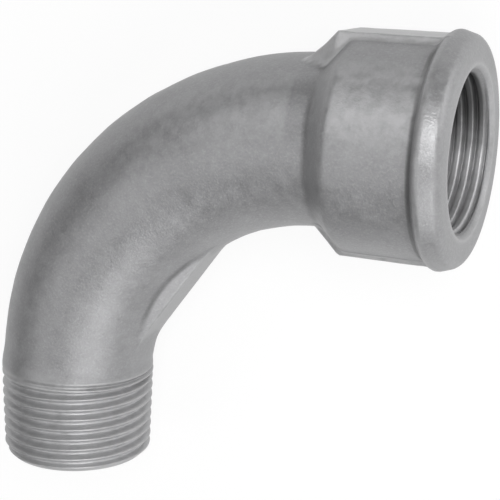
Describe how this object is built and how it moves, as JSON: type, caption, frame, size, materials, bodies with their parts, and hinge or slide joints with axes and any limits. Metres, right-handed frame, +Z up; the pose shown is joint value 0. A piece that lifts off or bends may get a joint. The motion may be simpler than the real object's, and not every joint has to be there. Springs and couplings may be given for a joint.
{
  "type": "long pipe bend",
  "caption": "Long-sweep quarter-turn pipe bend in galvanised cast iron, with a male pipe thread at one end and a beaded, ribbed threaded socket at the other.",
  "frame": {"origin": "centre of the base of the part's box, on the floor that it lies on", "axes": "+Z is up from the floor, +X is the way the socket's mouth faces, seen from above, and -Y is the way the male end faces"},
  "size_m": [0.084, 0.0791, 0.0373],
  "materials": {
    "casting": "matte galvanised casting"
  },
  "bodies": {
    "root": {"long_bend": "casting"}
  },
  "joints": []
}
